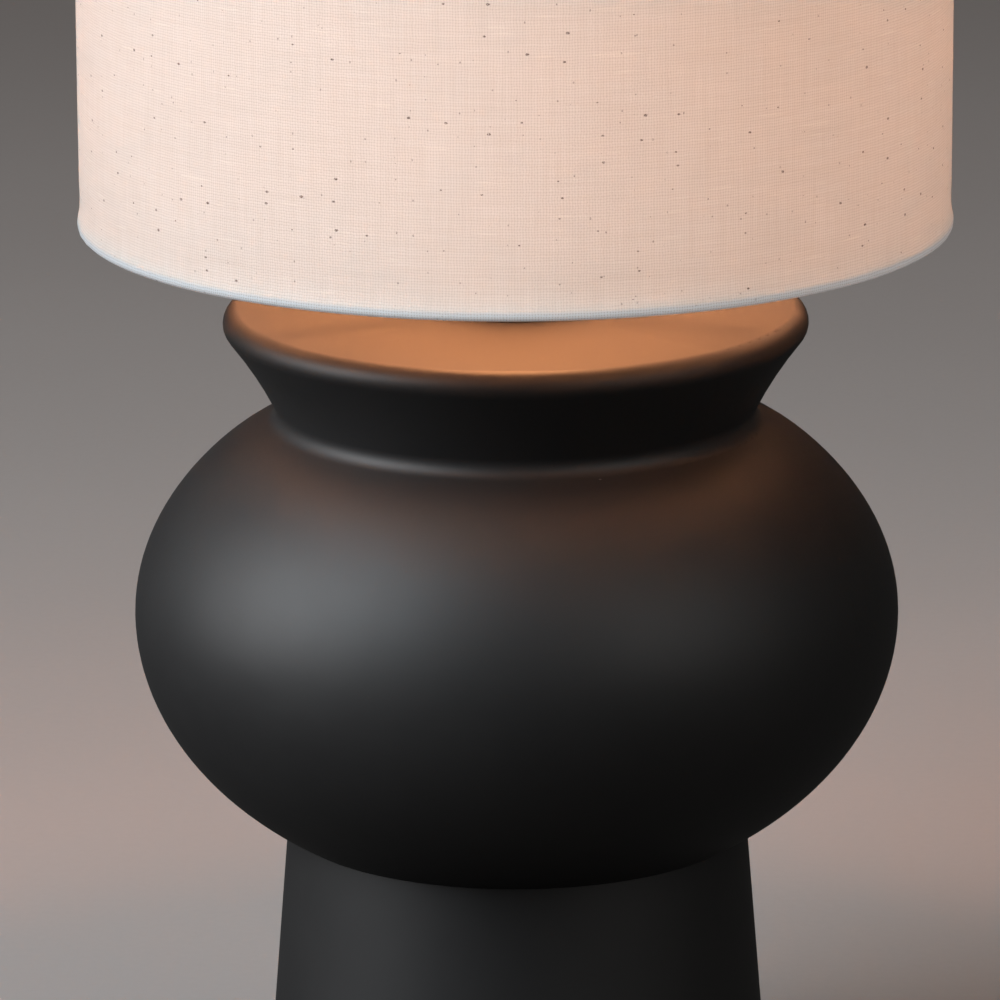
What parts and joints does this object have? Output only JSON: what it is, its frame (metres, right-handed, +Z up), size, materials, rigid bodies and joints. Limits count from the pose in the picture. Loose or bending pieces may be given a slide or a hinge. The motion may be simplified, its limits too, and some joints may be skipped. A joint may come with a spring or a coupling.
{
  "type": "table lamp with shade",
  "caption": "Table lamp: matt black ceramic body with a flared collar, globe and pedestal under an off-white fabric drum shade, with a screw-in bulb.",
  "frame": {"origin": "middle of the foot, on the surface that the lamp stands on", "axes": "+Z up along the lamp's axis, +Y to the rear where the cord comes in, front is -Y"},
  "size_m": [0.35, 0.35, 0.6466],
  "materials": {
    "black_ceramic": "matt black glaze, satin where light grazes it",
    "felt": "pressed dark felt",
    "grommet_plastic": "moulded black nylon",
    "zinc_steel": "zinc plated steel",
    "black_rubber": "soft black rubber",
    "black_paint": "satin black powder coat",
    "holder_plastic": "moulded black phenolic",
    "holder_ceramic": "glazed steatite",
    "brass": "drawn brass",
    "cotton": "natural off-white plain-weave cotton with dark flecks",
    "liner_film": "white styrene shade film",
    "ring_steel": "white powder-coated steel wire",
    "solder": "tinned contact",
    "black_glass": "fused black insulator",
    "cap_metal": "rolled nickel-plated cap",
    "opal_glass": "soft-white opal glass, lit from inside",
    "stem_glass": "clear lead glass",
    "phosphor": "yellow phosphor-coated LED filaments",
    "circuit_board": "green solder mask"
  },
  "bodies": {
    "base": {"ceramic_body": "black_ceramic", "foot_pads": "felt", "cord_grommet": "grommet_plastic", "threaded_tube": "zinc_steel", "base_rubber_washer": "black_rubber", "base_steel_washer": "zinc_steel", "base_spring_washer": "zinc_steel", "base_nut": "zinc_steel", "collar_washer": "black_rubber", "vase_cap": "black_paint", "cap_nut": "zinc_steel", "holder_dome": "holder_plastic", "holder_skirt": "holder_plastic", "holder_insert": "holder_ceramic", "screw_shell": "brass", "centre_contact": "brass", "live_terminal": "brass", "neutral_terminal": "brass", "terminal_screws": "zinc_steel", "shell_rivets": "brass", "grub_screw": "zinc_steel"},
    "shade": {"shade_fabric": "cotton", "shade_liner": "liner_film", "top_ring": "ring_steel", "bottom_ring": "ring_steel", "fitter_ring": "ring_steel", "shade_spokes": "ring_steel"},
    "shade_ring": {"shade_ring": "holder_plastic"},
    "bulb_foot": {"bulb_contact": "solder", "bulb_insulator": "black_glass"},
    "bulb": {"bulb_cap": "cap_metal", "bulb_glass": "opal_glass", "bulb_stem": "stem_glass", "bulb_filaments": "phosphor", "bulb_support_wires": "zinc_steel", "bulb_driver": "circuit_board"}
  },
  "joints": [
    {"name": "shade_turn", "type": "hinge", "parent": "base", "child": "shade", "pos_m": [0, 0, 0.40445], "axis": [0, 0, 1], "continuous": true},
    {"name": "shade_ring_lift", "type": "slide", "parent": "base", "child": "shade_ring", "axis": [0, 0, 1], "range_m": [0, 0.032]},
    {"name": "bulb_travel", "type": "slide", "parent": "base", "child": "bulb_foot", "axis": [0, 0, 1], "range_m": [0, 0.02177]},
    {"name": "bulb_turn", "type": "hinge", "parent": "bulb_foot", "child": "bulb", "pos_m": [0, 0, 0.41225], "axis": [0, 0, 1], "range_deg": [0, 2160]}
  ],
  "couplings": [
    {"joint": "bulb_travel", "follows": "bulb_turn", "m_per_rad": 0.00057757}
  ]
}
